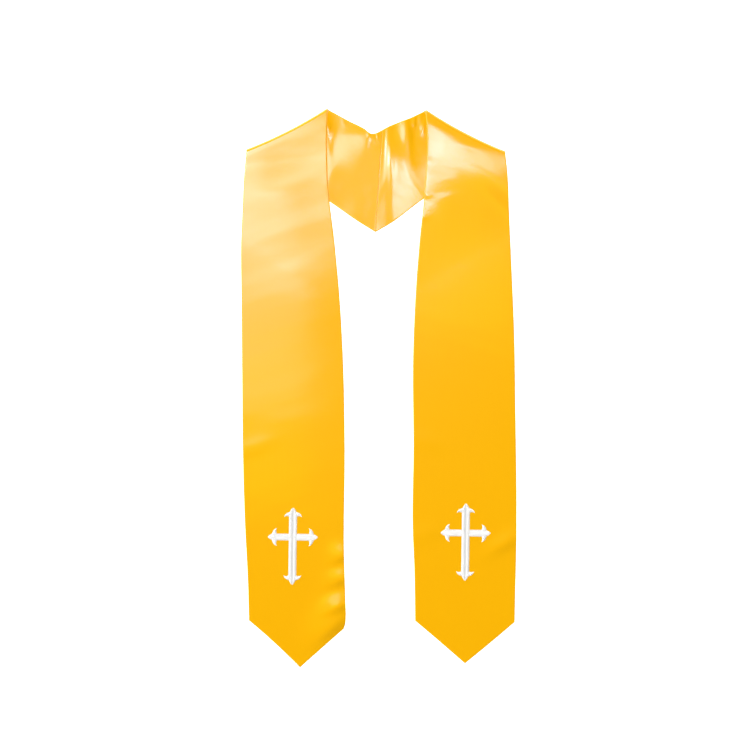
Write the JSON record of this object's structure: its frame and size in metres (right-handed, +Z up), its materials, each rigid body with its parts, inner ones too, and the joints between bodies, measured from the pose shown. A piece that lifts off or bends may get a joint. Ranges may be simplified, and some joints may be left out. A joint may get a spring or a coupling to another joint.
{
  "type": "choir stole",
  "caption": "Lined satin choir stole laid flat, folded at the shoulders, with a seamed V behind the neck, pointed front ends and a white embroidered cross on each front.",
  "frame": {"origin": "on the table, under the middle of the laid out stole's bounding box", "axes": "+X across the body to the right as seen from above, +Y along the body from the pointed ends to the neck, +Z up from the table"},
  "size_m": [0.3939, 0.799, 0.0087],
  "materials": {
    "gold_satin": "saturated golden yellow polyester satin, smooth, with a soft wide sheen",
    "lining_satin": "the same golden yellow satin, glossier where it bags inside the neck",
    "white_thread": "white embroidery thread in dense satin stitch"
  },
  "bodies": {
    "root": {"face_left": "gold_satin", "face_right": "gold_satin", "lining_left": "lining_satin", "lining_right": "lining_satin", "cross_left": "white_thread", "cross_right": "white_thread"}
  },
  "joints": []
}
